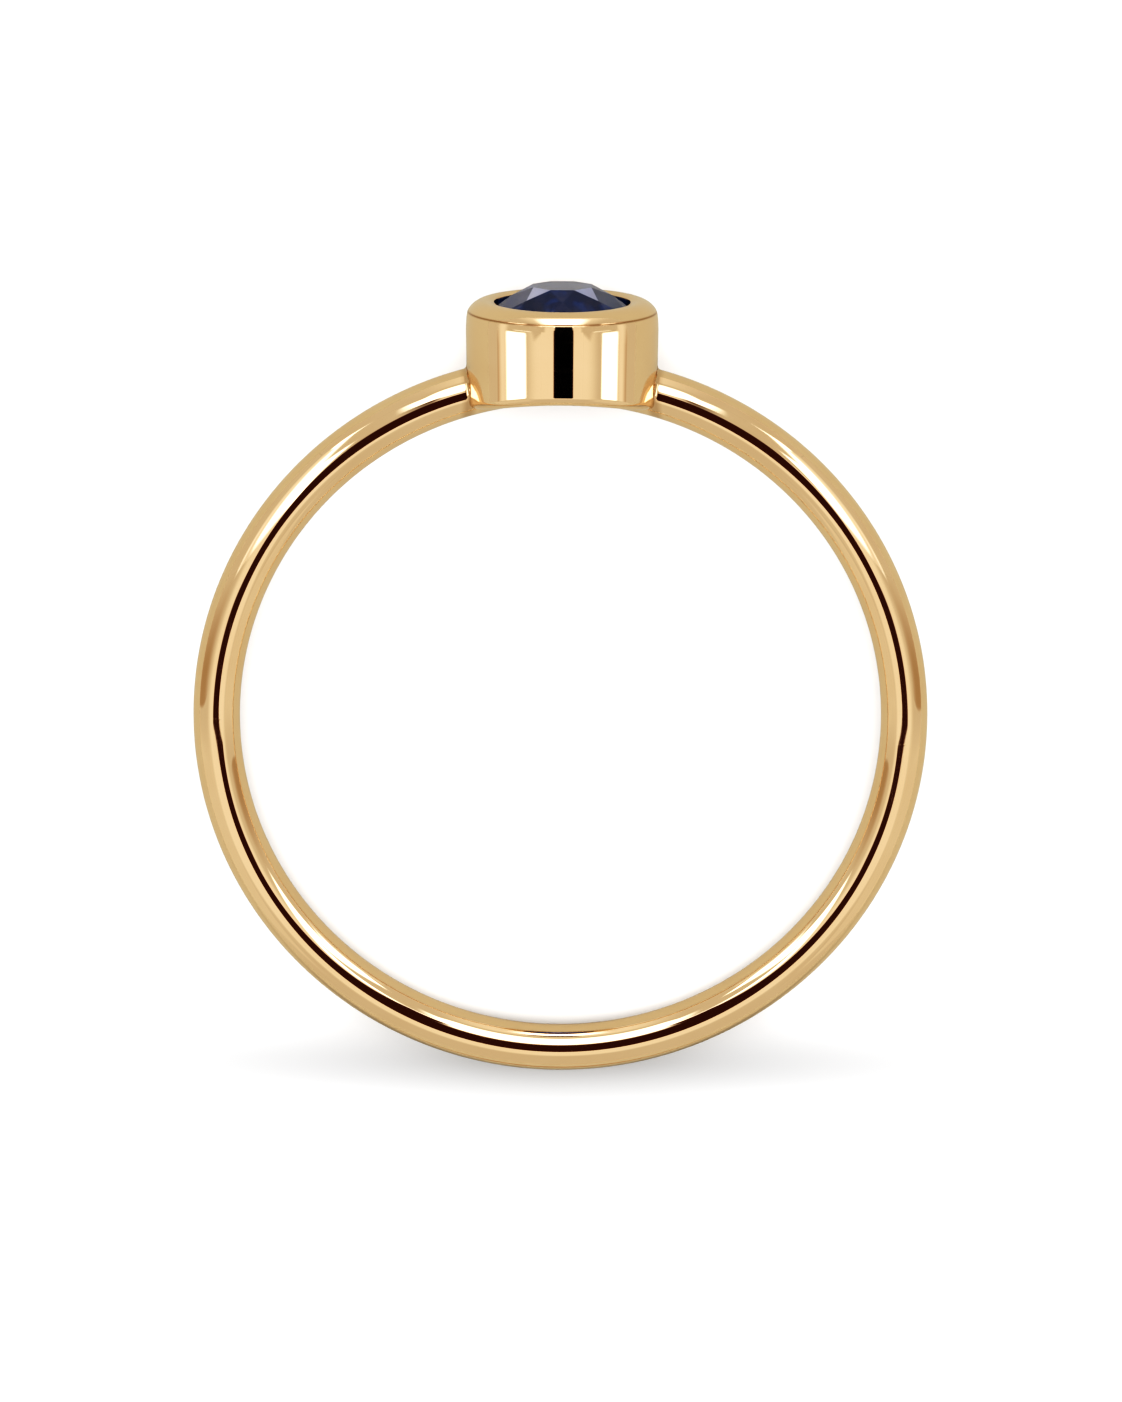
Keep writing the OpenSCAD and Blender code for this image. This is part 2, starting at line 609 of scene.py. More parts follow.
def on_plane(near: float, far: float) -> NodeGroup:
    """Finds what lies on a plane, such as one facet of a cut stone.

    Args:
        near: Distance from the plane up to which the mask is full.
        far: Distance at which it has faded out.

    Returns:
        A node group with inputs Vector, in object coordinates, Facing and Offset, the plane's direction
        and its distance from the origin, and with output Mask, from 0 to 1.
    """
    inputs = {"Vector": "Vector", "Facing": "Vector", "Offset": "Float"}
    bench, given, result = new_group("on_plane", inputs, ("Mask",))
    along = bench.vector("DOT_PRODUCT", given.outputs["Vector"], given.outputs["Facing"])
    off = bench.math("SUBTRACT", along, given.outputs["Offset"])
    mask = bench.span(bench.math("ABSOLUTE", off), (near, far), (1.0, 0.0))
    bench.join(mask, result.inputs["Mask"])
    return bench.tree


class FacetRow(Enum):
    """A row of the crown's facets: its slope in degrees, and its radius at the table's height."""

    TABLE = (0.0, 0.0)
    STAR = (24.177, 0.76682)
    MAIN = (32.380, 0.83)


@dataclass(frozen=True)
class PaintedLitFacet:
    """A facet that is painted lighter, with a glow in place of the light that it would throw back.

    Attributes:
        azimuth: Which way the facet looks, in degrees from the front towards +x.
        row: The row that it belongs to.
        glow: The painted light that it gives out, in red, green and blue.
    """

    azimuth: float
    row: FacetRow
    glow: Triple

    def plane(self, place: RingPlace, table_h: float) -> tuple[Vector, float]:
        """The facet's plane in the frame.

        Args:
            place: The ring's place.
            table_h: Height of the table above the finger circle's centre.

        Returns:
            The plane's outward direction, and its distance from the origin.
        """
        slope, radius = self.row.value
        lean = math.radians(slope)
        side = math.radians(self.azimuth)
        out = Vector((math.sin(side), 0, math.cos(side)))
        point = place.to_frame @ (out * radius * MM + Vector((0, table_h, 0)))
        facing = place.direction(*(out * math.sin(lean) + Vector((0, math.cos(lean), 0))))
        return facing, facing.dot(point)


@dataclass(frozen=True)
class CutSapphire:
    """Deep navy sapphire with polished facets, and painted light in them: a glow from its facets and
    painted blue glints.

    Scales are in spots per metre, and a span of noise is that between which something fades in.
    """

    place: RingPlace
    # Height of the table above the finger circle's centre
    table_h: float = 11.73 * MM
    # The surface: its tint, that tint where hands have dulled it, and its roughness in a smudge
    colour: Colour = (0.30, 0.42, 0.85, 1.0)
    worn_colour: Colour = (0.276, 0.3864, 0.782, 1.0)
    dull: float = 0.02
    smudge_scale: float = 900.0
    scratch_scale: float = 6000.0
    # The inside: the colour that its depth lets through, and how much it absorbs per metre
    body: Colour = (0.01, 0.035, 0.22, 1.0)
    density: float = 900.0
    ior: float = 1.58
    # The painted glow of the dark facets, and the small painted blue glints in them
    dark: Colour = (0.003, 0.010, 0.042, 1.0)
    glint: Colour = (0.004, 0.022, 0.100, 1.0)
    glint_scale: float = 2600.0
    glint_span: Pair = (0.55, 0.72)
    # The faint clouds in the painted light of the lit facets, and the share of that light in a cloud and
    # beside it
    cloud_scale: float = 900.0
    cloud_span: Pair = (0.3, 0.7)
    cloud_glow: Pair = (0.75, 1.0)
    # Distances from a facet's plane at which its painted light is full, and gone
    facet_span: Pair = (0.001 * MM, 0.003 * MM)
    facets: tuple[PaintedLitFacet, ...] = (
        PaintedLitFacet(0, FacetRow.TABLE, (0.03, 0.04, 0.08)),
        PaintedLitFacet(-45, FacetRow.STAR, (0.35, 0.35, 0.43)),
        PaintedLitFacet(45, FacetRow.STAR, (0.34, 0.35, 0.45)),
        PaintedLitFacet(-67.5, FacetRow.MAIN, (0.06, 0.065, 0.10)),
        PaintedLitFacet(67.5, FacetRow.MAIN, (0.02, 0.03, 0.06)),
        PaintedLitFacet(135, FacetRow.STAR, (0.16, 0.17, 0.24)),
        PaintedLitFacet(-135, FacetRow.STAR, (0.22, 0.23, 0.30)),
        PaintedLitFacet(157.5, FacetRow.MAIN, (0.04, 0.05, 0.09)),
        PaintedLitFacet(-112.5, FacetRow.MAIN, (0.03, 0.04, 0.07)),
        PaintedLitFacet(112.5, FacetRow.MAIN, (0.06, 0.07, 0.11)),
    )

    def light(self, bench: NodeBench, where: Node) -> Socket:
        """Adds the painted light that the stone's facets give out, as emission.

        Args:
            bench: The material's tree.
            where: Its Texture Coordinate node.

        Returns:
            The colour of that light.
        """
        spots = bench.noise(where.outputs["Object"], self.glint_scale, 1.0)
        colour = bench.blend(bench.span(spots, self.glint_span), self.dark, self.glint)
        clouds = bench.noise(where.outputs["Object"], self.cloud_scale, 2.0)
        clear = bench.span(clouds, self.cloud_span, self.cloud_glow)
        planes = on_plane(*self.facet_span)
        for facet in self.facets:
            facing, offset = facet.plane(self.place, self.table_h)
            on = bench.placed(planes, where, {"Facing": facing, "Offset": offset})
            share = bench.math("MULTIPLY", on.outputs["Mask"], clear)
            colour = bench.blend(share, colour, (*facet.glow, 1.0))
        return colour

    def make(self, name: str, marks: NodeGroup) -> bpy.types.Material:
        """Builds the material.

        Args:
            name: The material's name.
            marks: The shared group of handling marks.

        Returns:
            The material.
        """
        material, bench, out = new_material(name)
        shader = bench.add("ShaderNodeBsdfPrincipled")
        bench.join(shader.outputs["BSDF"], out.inputs["Surface"])
        shader.inputs["Transmission Weight"].default_value = 1.0
        shader.inputs["IOR"].default_value = self.ior
        where = bench.add("ShaderNodeTexCoord")
        scales = {"Smudge Scale": self.smudge_scale, "Scratch Scale": self.scratch_scale}
        worn = bench.placed(marks, where, scales)
        tint = bench.blend(worn.outputs["Tone"], self.colour, self.worn_colour)
        bench.join(tint, shader.inputs["Base Color"])
        rough = bench.span(worn.outputs["Smudge"], (0.0, 1.0), (0.0, self.dull))
        bench.join(rough, shader.inputs["Roughness"])
        # Painted light: the stone glows with this colour, in place of the light that its facets would throw
        # back
        bench.join(self.light(bench, where), shader.inputs["Emission Color"])
        shader.inputs["Emission Strength"].default_value = 1.0
        depth = bench.add("ShaderNodeVolumeAbsorption")
        depth.inputs["Color"].default_value = self.body
        depth.inputs["Density"].default_value = self.density
        bench.join(depth.outputs["Volume"], out.inputs["Volume"])
        return material


@dataclass
class BezelCup:
    """The cup that holds the stone, with its rim, seat, open back and arched foot.

    Radii end in _r. Heights end in _h, and are from the finger circle's centre towards the stone.
    """

    finger_r: float
    stone_r: float
    # The straight wall, and above it a slight swell, a roll-in, and the groove's lower edge and side
    wall_top_r: float = 2.534 * MM
    wall_top_h: float = 10.44 * MM
    draft: float = math.tan(math.radians(1.3))
    wall_arcs: Arcs = (
        (4.4 * MM, 4.0, 6),
        (1.34 * MM, 12.5, 8),
        (0.014 * MM, 60.0, 3),
        (-0.03 * MM, 25.0, 3),
    )
    # The groove's upper side, and the burnished rim with its rounded inner edge
    rim_arcs: Arcs = ((-0.03 * MM, -10.0, 3), (0.014 * MM, 32.0, 4))
    rim_h: float = 11.35 * MM
    rim_steps: int = 30
    lip_edge: float = 0.022 * MM
    lip_round: tuple[Pair, ...] = ((0.35, 0.07), (0.75, 0.35), (1.0, 1.0))
    lip_r: float = 1.79 * MM
    lip_h: float = 11.265 * MM
    # The recess round the stone's girdle, the seat that falls inwards, and the hole behind
    recess_h: float = 11.018 * MM
    seat_gap: float = 0.03 * MM
    seat_h: float = 10.885 * MM
    seat_slope: float = 0.9087
    hole_r: float = 1.5 * MM
    # The foot, with a rounded outer edge and a bevelled inner one, and the arch over the finger
    foot_lift: float = 0.34 * MM
    foot_r: float = 0.28 * MM
    foot_bevel: float = 0.02 * MM
    foot_steps: int = 18
    saddle_r: float = 6.4 * MM
    around: int = 288

    def wall_r(self, height: float) -> float:
        """Radius of the wall's outside at a height."""
        return self.wall_top_r - (self.wall_top_h - height) * self.draft

    @property
    def foot_h(self) -> float:
        """Height of the foot at the middle of its front and back."""
        return self.finger_r + self.foot_lift

    @property
    def wall_low_h(self) -> float:
        """Height at which the wall turns into the rounded foot."""
        return self.foot_h + self.foot_r

    @property
    def seat_low_h(self) -> float:
        """Height of the seat's inner edge, at the hole."""
        return self.seat_h - (self.stone_r + self.seat_gap - self.hole_r) * self.seat_slope

    def drop(self, x: float) -> float:
        """How far the foot's arch has come down at a distance x to the side."""
        side = min(abs(x), self.saddle_r)
        return self.saddle_r - math.sqrt(self.saddle_r**2 - side**2)

    def wall(self) -> tuple[Profile, float]:
        """The section from the foot's inner edge up the outside to the bottom of the groove.

        Returns:
            Points as distance from the cup's axis and height, and how far the end leans in, in degrees.
        """
        low_r = self.wall_r(self.wall_low_h)
        hold_h = self.wall_low_h + FOOT_HOLD
        bevel_r = self.hole_r + self.foot_bevel
        points = [(self.hole_r, self.foot_h + self.foot_bevel), (bevel_r, self.foot_h)]
        points += arc((low_r - self.foot_r, self.wall_low_h), self.foot_r, -90, 0, self.foot_steps)
        points += [(self.wall_r(hold_h), hold_h), (self.wall_top_r, self.wall_top_h)]
        tilt = climb(points, -math.degrees(math.atan(self.draft)), self.wall_arcs)
        return points, tilt

    def profile(self) -> Profile:
        """The cup's section, as a closed outline before its foot is arched.

        Returns:
            Points as distance from the cup's axis and height, going up the outside and down the inside.
        """
        points, tilt = self.wall()
        tilt = climb(points, tilt, self.rim_arcs)
        base_r, base_h = points[-1]
        lean = math.radians(tilt)
        dome_r = (self.rim_h - base_h) / (1 - math.sin(lean))
        dome_c = base_r - dome_r * math.cos(lean)
        dome_end = math.degrees(math.acos((self.lip_r + self.lip_edge - dome_c) / dome_r))
        climb(points, tilt, ((dome_r, dome_end, self.rim_steps),))
        edge_r, edge_h = points[-1]
        for inwards, down in self.lip_round:
            points.append((edge_r - inwards * self.lip_edge, edge_h - down * self.lip_edge))
        recess_r = self.stone_r + self.seat_gap
        points += [(self.lip_r, self.lip_h), (recess_r, self.recess_h), (recess_r, self.seat_h)]
        points.append((self.hole_r, self.seat_low_h))
        return points

    def build(self) -> bmesh.types.BMesh:
        """Spins the section round the cup's axis and arches the foot over the finger.

        Returns:
            The cup in the ring's own axes, as a closed mesh.
        """
        bm = bmesh.new()
        verts = [bm.verts.new((r, h, 0)) for r, h in self.profile()]
        edges = [bm.edges.new((a, b)) for a, b in zip(verts, verts[1:] + verts[:1])]
        bmesh.ops.spin(
            bm, geom=verts + edges, axis=(0, 1, 0), angle=math.tau, steps=self.around, use_merge=True
        )
        for vert in bm.verts:
            share = (self.seat_low_h - vert.co.y) / (self.seat_low_h - self.wall_low_h)
            vert.co.y -= self.drop(vert.co.x) * min(1.0, max(0.0, share))
        bmesh.ops.recalc_face_normals(bm, faces=bm.faces)
        return bm


@dataclass
class RoundBand:
    """The band of round wire, from one side of the cup to the other, with a solder fillet at each end.

    Distances that end in _x are to the side of the cup's axis.
    """

    finger_r: float
    wire_d: float
    cup: BezelCup
    # The fillet, thickest a little inside the wall, and the height over which it fades in
    solder_r: float = 0.11 * MM
    solder_sink: float = 0.012 * MM
    solder_fade: float = 0.25 * MM
    # The wire's ends, inside the wall, and the stretches near them that have finer steps
    end_x: float = 1.52 * MM
    fine_x: float = 2.95 * MM
    section: int = 84
    fine_steps: int = 70
    long_steps: int = 400

    @property
    def band_r(self) -> float:
        """Radius of the wire's middle line."""
        return self.finger_r + self.wire_d / 2

    def fillet(self, at: Vector) -> float:
        """How far solder fills out the wire at a point of its surface.

        Args:
            at: The point, in the ring's own axes.

        Returns:
            The extra radius there.
        """
        off_wall = math.hypot(at.x, at.z) - self.cup.wall_r(at.y) + self.solder_sink
        near = self.solder_r - min(abs(off_wall), self.solder_r)
        swell = self.solder_r - math.sqrt(self.solder_r**2 - near**2)
        foot = self.cup.wall_low_h - self.cup.drop(at.x)
        return swell * ease((at.y - foot) / self.solder_fade)

    def build(self) -> bmesh.types.BMesh:
        """Sweeps the wire round the finger in finer steps near the cup, and fills out its ends.

        Returns:
            The band in the ring's own axes, as a closed mesh.
        """
        first = math.asin(self.end_x / self.band_r)
        fine = math.asin(self.fine_x / self.band_r) - first
        bm = bmesh.new()
        bmesh.ops.create_circle(bm, segments=self.section, radius=self.wire_d / 2)
        stand = Matrix.Rotation(math.pi / 2, 4, "Y") @ Matrix.Rotation(math.pi / self.section, 4, "Z")
        bmesh.ops.transform(bm, matrix=stand, verts=bm.verts)
        bmesh.ops.translate(bm, vec=(0, self.band_r, 0), verts=bm.verts)
        bmesh.ops.rotate(bm, matrix=Matrix.Rotation(-first, 3, "Z"), verts=bm.verts)
        start_edges = list(bm.edges)
        ends = start_edges
        for angle, steps in (
            (fine, self.fine_steps),
            (math.tau - 2 * (first + fine), self.long_steps),
            (fine, self.fine_steps),
        ):
            rim = list({vert for edge in ends for vert in edge.verts})
            turned = bmesh.ops.spin(bm, geom=ends + rim, axis=(0, 0, -1), angle=angle, steps=steps)
            ends = [g for g in turned["geom_last"] if isinstance(g, bmesh.types.BMEdge)]
        for loop in (start_edges, ends):
            bmesh.ops.contextual_create(bm, geom=loop)
        for vert in bm.verts:
            spoke = Vector((vert.co.x, vert.co.y, 0)).normalized() * self.band_r
            outward = (vert.co - spoke).normalized()
            vert.co += outward * self.fillet(vert.co)
        bmesh.ops.recalc_face_normals(bm, faces=bm.faces)
        return bm


@dataclass
class Metalwork:
    """All the gold: the cup and the band, joined as solder joins them."""

    place: RingPlace
    stone_r: float
    # The angle between faces up to which the metal is shaded smooth
    smooth_angle: float = math.radians(28)

    @property
    def cup(self) -> BezelCup:
        """The cup's shape."""
        return BezelCup(self.place.finger_r, self.stone_r)

    def build(self) -> bpy.types.Object:
        """Joins the cup and the band into one closed mesh and puts it in its place.

        Returns:
            The metal, as one object.
        """
        band = RoundBand(self.place.finger_r, self.place.wire_d, self.cup)
        metal = new_object("gold_band_and_bezel", self.cup.build())
        wire = new_object("gold_wire", band.build())
        union = metal.modifiers.new("solder", "BOOLEAN")
        union.operation = "UNION"
        union.solver = "EXACT"
        union.object = wire
        graph = bpy.context.evaluated_depsgraph_get()
        joined = bmesh.new()
        joined.from_object(metal, graph)
        metal.modifiers.clear()
        sort_parts(joined)
        joined.to_mesh(metal.data)
        joined.free()
        bpy.data.meshes.remove(wire.data)
        metal.data.transform(self.place.to_frame)
        metal.data.shade_smooth()
        metal.data.set_sharp_from_angle(angle=self.smooth_angle)
        return metal

    def dress(self, metal: bpy.types.Object, finish: bpy.types.Material) -> None:
        """Gives the metal its finish and its place in the frame.

        Args:
            metal: The metal's object.
            finish: The material.
        """
        metal.data.materials.append(finish)
        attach(metal, BODY)
        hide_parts(METAL_NODE)


def card(name: str, size: Pair, stand: Matrix) -> bpy.types.Object:
    """Makes a flat card, whose UV map runs from -1 to 1 across it.

    Args:
        name: The object's name.
        size: Its width and height, in millimetres.
        stand: Turns and moves it to its place in the frame.

    Returns:
        The linked object.
    """
    bm = bmesh.new()
    bmesh.ops.create_grid(bm, x_segments=1, y_segments=1, size=1.0, calc_uvs=False)
    uv = bm.loops.layers.uv.new("UVMap")
    for face in bm.faces:
        for loop in face.loops:
            loop[uv].uv = loop.vert.co.xy
    half = Matrix.Diagonal((size[0] * MM / 2, size[1] * MM / 2, 1, 1))
    bmesh.ops.transform(bm, matrix=stand @ half, verts=bm.verts)
    return new_object(name, bm)


@dataclass(frozen=True)
class Panel:
    """A flat reflector or light box of the studio, placed in the ring's own axes.

    Attributes:
        name: The object's name.
        centre: Its middle, in millimetres.
        size: Its width and height, in millimetres.
        azimuth: Which side it faces the ring from, in degrees from the front towards +x.
        elevation: How far above the ring it faces it from, in degrees.
        glow: Radiance in its middle, in red, green and blue.
        soft: Share of each half that fades out at the sides, at the top and at the bottom.
        roll: Its turn in its own plane, in degrees, its top going towards -x.
    """

    name: str
    centre: Triple
    size: Pair
    azimuth: float
    elevation: float
    glow: Triple
    soft: Triple
    roll: float = 0.0

    def pair(self) -> list["Panel"]:
        """Two panels: this one on the ring's left, and its mirror image on the right.

        Returns:
            The left panel and the right one, named after this one.
        """
        x, y, z = self.centre
        left = replace(self, name=f"left_{self.name}")
        right = replace(left, name=f"right_{self.name}", centre=(-x, y, z))
        return [left, replace(right, azimuth=-self.azimuth, roll=-self.roll)]

    def build(self, place: RingPlace) -> None:
        """Makes the panel as a stage object that the camera doesn't see.

        Args:
            place: The ring's place.
        """
        lean = Matrix.Rotation(math.radians(-self.elevation), 4, "X")
        turn = Matrix.Rotation(math.radians(self.azimuth), 4, "Y")
        roll = Matrix.Rotation(math.radians(self.roll), 4, "Z")
        stand = Matrix.Translation(Vector(self.centre) * MM) @ turn @ lean @ roll
        panel = card(self.name, self.size, place.to_frame @ stand)
        panel.data.materials.append(self.finish())
        panel.visible_camera = False
        panel.visible_diffuse = False
        panel.visible_shadow = False

    def finish(self) -> bpy.types.Material:
        """Builds the panel's material, which fades out towards its edges.

        Returns:
            The material.
        """
        material, bench, out = new_material(self.name)
        where = bench.add("ShaderNodeTexCoord")
        parts = bench.add("ShaderNodeSeparateXYZ")
        bench.join(where.outputs["UV"], parts.inputs["Vector"])
        sideways = bench.math("ABSOLUTE", parts.outputs["X"])
        below = bench.math("MULTIPLY", parts.outputs["Y"], -1.0)
        fades = []
        for reach, soft in zip((sideways, parts.outputs["Y"], below), self.soft):
            fades.append(bench.span(reach, (1.0, 1.0 - soft), kind="SMOOTHSTEP"))
        mask = bench.math("MULTIPLY", bench.math("MULTIPLY", *fades[:2]), fades[2])
        glow = bench.shader("ShaderNodeEmission", self.glow)
        clear = bench.add("ShaderNodeBsdfTransparent").outputs[0]
        bench.join(bench.mix(mask, clear, glow), out.inputs["Surface"])
        return material


# Colours of the studio's cards and light boxes
WHITE = (3.2, 3.2, 3.2)
PALE = (0.97, 0.90, 0.80)
PLAIN = (0.676, 0.636, 0.546)
DARK = (0.07, 0.018, 0.009)
BLACK = (0.0, 0.0, 0.0)
DIM = (0.47, 0.367, 0.252)
SOFT = (0.78, 0.73, 0.63)


@dataclass
class Studio:
    """A pale floor, a plain surround and soft light boxes that are turned with the ring."""

    place: RingPlace
    # The floor, as the camera sees it and as the ring mirrors it
    floor_r: float = 3.0
    floor_seen: Triple = (0.93, 0.93, 0.93)
    floor_mirrored: Triple = (0.426, 0.406, 0.336)
    # The surround, as the ring mirrors it, as it lights matt things, and as the camera sees it
    surround: Triple = PLAIN
    fill: Triple = (0.95, 0.95, 0.95)
    backdrop: Triple = (1.05, 1.05, 1.05)
    # Two soft lights: irradiance, and in degrees how wide they are and how far the second leans
    key_light: float = 1.6
    key_spread: float = 30.0
    rim_light: float = 0.7
    rim_spread: float = 50.0
    rim_lean: float = 45.0
    # The flag that shades the floor, in millimetres, and the share of the light that its middle stops
    flag_at: Triple = (0, -10.72, 0.12)
    flag_size: Pair = (44, 3.7)
    flag_shade: float = 0.57

    def panels(self) -> list[Panel]:
        """The light boxes and the dark side of the camera, as the metal mirrors them.

        Returns:
            The panels. A pair is given by its left one.
        """
        return [
            Panel("front_fill", (0, -12, 118), (250, 150), 0, 0, PALE, (0.5, 0.35, 0.35)),
            Panel("camera_dark", (0, 2, 60), (44, 34.5), 0, 0, DARK, (0.08, 0.1, 0.03)),
            Panel("dark_base", (0, -9.5, 59.7), (54, 12), 0, 0, DARK, (0.2, 0.5, 0.04)),
            Panel("dark_stem", (0.5, -14, 59.9), (9, 8), 0, 0, DARK, (0.2, 0.1, 0.1)),
            *Panel("horn", (-18.5, 21, 59.8), (12, 30), 0, 0, DARK, (0.5, 0.5, 0.3), 15).pair(),
            Panel("top_box", (0, 57.2, 67.8), (76, 56), 0, 35, WHITE, (0.15, 0.5, 0.14)),
            Panel("overhead", (0, 75, -5), (90, 100), 0, 90, PALE, (0.6, 0.3, 0.3)),
            Panel("rim_box", (0, 19.6, 4.9), (9, 7.4), 0, 66, WHITE, (0.6, 0.35, 0.1)),
            Panel("lip_card", (0, 15.9, -8), (11, 3.6), 180, 0, WHITE, (0.5, 0.4, 0.3)),
            *Panel("box", (-45, 36, 50), (52, 50), -42, 15, WHITE, (0.3, 0.3, 0.25)).pair(),
            *Panel("gap", (-24.5, 28, 30), (16, 44), 0, 0, PLAIN, (0.5, 0.1, 0.1), 31).pair(),
            Panel("left_strip", (-11.36, 7.9, 8.66), (7.2, 6.0), -56, 0, WHITE, (0.3, 0.3, 0.5)),
            Panel("right_strip", (11.65, 7.9, 8.23), (5.8, 6.0), 57, 0, WHITE, (0.3, 0.3, 0.5)),
            *Panel("wing", (-13.1, 9.3, 5.0), (4.6, 8.6), -75, 0, PALE, (0.9, 0.05, 0.05)).pair(),
            *Panel("side", (-13.9, 9.3, 1.5), (4.0, 8.6), -90, 0, PLAIN, (0.3, 0.05, 0.05)).pair(),
            *Panel("dim", (-60, 3, 16), (70, 28), -75, 0, DIM, (0.8, 1.6, 0.08)).pair(),
            *Panel("low", (-62, -48, 30), (90, 70), -60, 0, SOFT, (0.5, 0.3, 0.5)).pair(),
            Panel("back_low", (0, -12.6, -0.18), (26, 4.4), 0, -5.8, DIM, (0.7, 0.3, 1.2)),
            Panel("left_brow", (-2.3, 11.42, 3.88), (3.0, 0.86), -46, 0, PLAIN, (0.2, 0.1, 0.1)),
            Panel("right_brow", (2.42, 11.42, 3.8), (3.0, 0.86), 46, 0, PLAIN, (0.2, 0.1, 0.1)),
            Panel("dark_slot", (0.17, 10.125, 6.5), (2.11, 6.35), 0, 0, BLACK, (0.12, 0.02, 0.02)),
            Panel("left_card", (-1.685, 10.125, 6.52), (1.63, 6.35), 0, 0, PALE, (0.15, 0.02, 0.02)),
            Panel("right_card", (1.85, 10.125, 6.52), (1.3, 6.35), 0, 0, PALE, (0.15, 0.02, 0.02)),
        ]

    def floor(self) -> None:
        """Makes the floor under the ring."""
        bm = bmesh.new()
        bmesh.ops.create_circle(bm, cap_ends=True, segments=96, radius=self.floor_r)
        floor = new_object("floor", bm)
        material, bench, out = new_material("pale_floor")
        seen = bench.shader("ShaderNodeBsdfDiffuse", self.floor_seen)
        mirrored = bench.shader("ShaderNodeBsdfDiffuse", self.floor_mirrored)
        bench.join(bench.by_ray("Is Camera Ray", seen, mirrored), out.inputs["Surface"])
        floor.data.materials.append(material)

    def flag(self) -> None:
        """Makes the soft flag that shades the floor under the band's back, and nothing else."""
        flag = card("shadow_flag", self.flag_size, Matrix.Translation(Vector(self.flag_at) * MM))
        material, bench, out = new_material("shadow_flag")
        where = bench.add("ShaderNodeTexCoord")
        reach = bench.vector("LENGTH", where.outputs["UV"])
        solid = bench.span(reach, (1.0, 0.0), (0.0, self.flag_shade))
        clear = bench.add("ShaderNodeBsdfTransparent").outputs[0]
        stop = bench.shader("ShaderNodeBsdfDiffuse", BLACK)
        bench.join(bench.mix(solid, clear, stop), out.inputs["Surface"])
        flag.data.materials.append(material)
        flag.visible_camera = False
        flag.visible_glossy = False
        flag.visible_transmission = False

    def world(self) -> None:
        """Surrounds the ring with plain soft light, and shows the camera a white backdrop."""
        world = bpy.data.worlds.new("studio")
        bpy.context.scene.world = world
        world.use_nodes = True
        bench = NodeBench(world.node_tree)
        out = bench.add("ShaderNodeOutputWorld")
        mirrored = bench.shader("ShaderNodeBackground", self.surround)
        lit = bench.shader("ShaderNodeBackground", self.fill)
        seen = bench.shader("ShaderNodeBackground", self.backdrop)
        ring_light = bench.by_ray("Is Diffuse Ray", lit, mirrored)
        bench.join(bench.by_ray("Is Camera Ray", seen, ring_light), out.inputs["Surface"])

    def sun(self, name: str, energy: float, spread: float, lean: float) -> None:
        """Adds a soft light from far away that lights the floor alone.

        Args:
            name: The light's name.
            energy: Its irradiance.
            spread: The angle that it fills, in degrees.
            lean: How far it stands towards the stone's side from straight above, in degrees.
        """
        light = bpy.data.lights.new(name, "SUN")
        light.energy = energy
        light.angle = math.radians(spread)
        sun = bpy.data.objects.new(name, light)
        bpy.context.scene.collection.objects.link(sun)
        sun.rotation_euler = (math.radians(-lean), 0, 0)
        sun.visible_glossy = False
        sun.visible_transmission = False

    def build(self) -> None:
        """Builds the whole studio."""
        self.world()
        self.floor()
        self.flag()
        for panel in self.panels():
            panel.build(self.place)
            log.info("panel %s", panel.name)
        self.sun("overhead", self.key_light, self.key_spread, 0)
        self.sun("from_behind", self.rim_light, self.rim_spread, self.rim_lean)


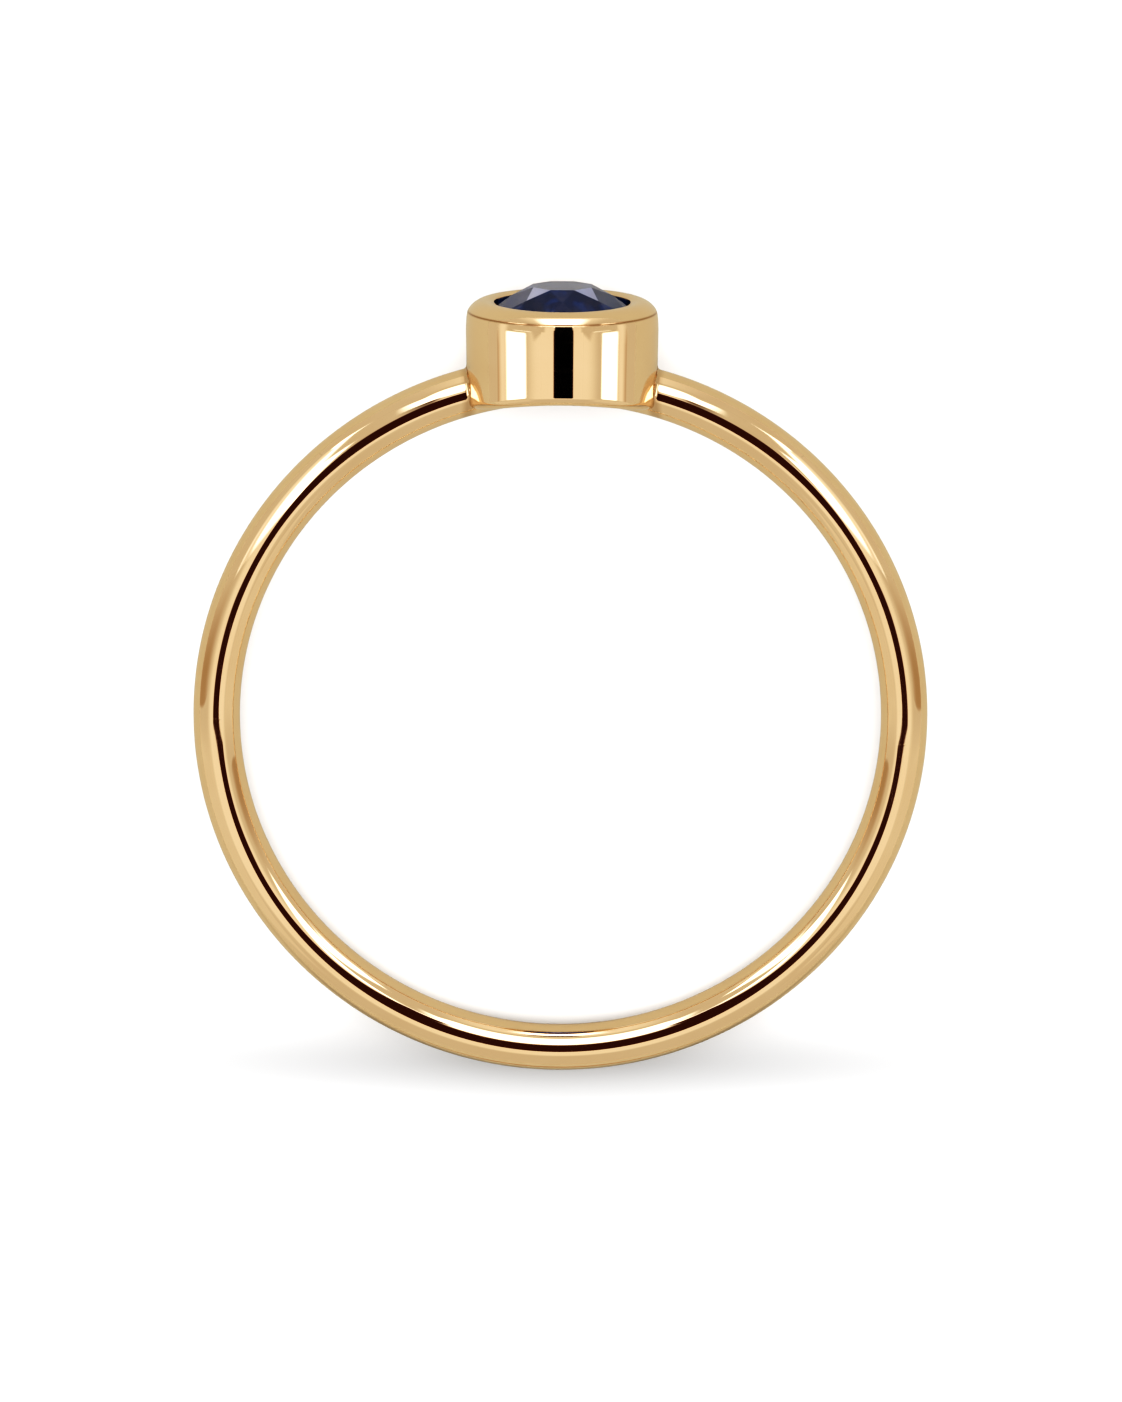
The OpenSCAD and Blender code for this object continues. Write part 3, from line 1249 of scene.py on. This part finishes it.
@dataclass
class PhotoCamera:
    """The camera, at the viewing angle of the picture."""

    place: RingPlace
    # Its distance from the finger circle's centre, and its angle above the finger's axis in degrees
    distance: float = 129.15 * MM
    elevation: float = 14.032
    # Its focal length in pixels of the picture, and the picture's turn in degrees
    focal: float = 4811.5
    roll: float = 0.26
    # The picture's size, and where the finger circle's centre shows in it
    size: tuple[int, int] = (1122, 1402)
    centre_px: Pair = (560.5, 718.98)

    def build(self) -> None:
        """Makes the camera and sets it as the scene's."""
        tilt = math.radians(self.elevation)
        back = self.place.direction(0, math.sin(tilt), math.cos(tilt))
        right = Vector((1, 0, 0))
        up = back.cross(right)
        aim_up = math.atan((self.centre_px[1] - self.size[1] / 2) / self.focal)
        aim_side = math.atan((self.centre_px[0] - self.size[0] / 2) / self.focal)
        axes = Matrix((right, up, back)).transposed()
        axes = axes @ Matrix.Rotation(aim_up, 3, "X") @ Matrix.Rotation(aim_side, 3, "Y")
        axes = axes @ Matrix.Rotation(math.radians(self.roll), 3, "Z")
        data = bpy.data.cameras.new("camera")
        data.sensor_fit = "AUTO"
        data.sensor_width = 36.0
        data.lens = self.focal / max(self.size) * data.sensor_width
        data.clip_start = 0.001
        data.clip_end = 50.0
        camera = bpy.data.objects.new("camera", data)
        bpy.context.scene.collection.objects.link(camera)
        camera.matrix_world = Matrix.Translation(self.place.centre + back * self.distance) @ axes.to_4x4()
        bpy.context.scene.camera = camera


def set_colours() -> None:
    """Shows the render's colours with the plain contrast of a product picture."""
    view = bpy.context.scene.view_settings
    view.view_transform = "Standard"
    view.look = "None"
    view.use_curve_mapping = True
    curve = view.curve_mapping.curves[COMBINED_CURVE]
    for point in TONE_CURVE:
        curve.points.new(*point)
    view.curve_mapping.update()
    bpy.context.scene.cycles.use_denoising = True


def main() -> None:
    """Builds the ring's looks in order and reports each piece."""
    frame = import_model()
    place = RingPlace.from_record(frame["record"])
    low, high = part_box(STONE_NODE)
    marks = HandlingMarks().make()

    metalwork = Metalwork(place, (high.x - low.x) / 2)
    # The groove under the rim and the solder seam get painted shade in the gold's colour
    crease_r, crease_h = metalwork.cup.wall()[0][-1]
    crease = near_circle(place, crease_r, crease_h, GROOVE_SHADE_REACH)
    metal = metalwork.build()
    seam = near_joint(place, metalwork.cup.wall_r(place.finger_r), SEAM_SHADE_FULL, SEAM_SHADE_REACH)
    metalwork.dress(metal, PolishedGold().make("polished_gold", marks, crease, seam))
    log.info("%s: %d faces", metal.name, len(metal.data.polygons))

    stone = frame["nodes"][STONE_NODE]
    sapphire = CutSapphire(place).make("cut_sapphire", marks)
    for slot in stone.material_slots:
        slot.material = sapphire
    log.info("%s: %d faces", stone.name, len(stone.data.polygons))

    Studio(place).build()
    PhotoCamera(place).build()
    set_colours()


if __name__ == "__main__":
    main()
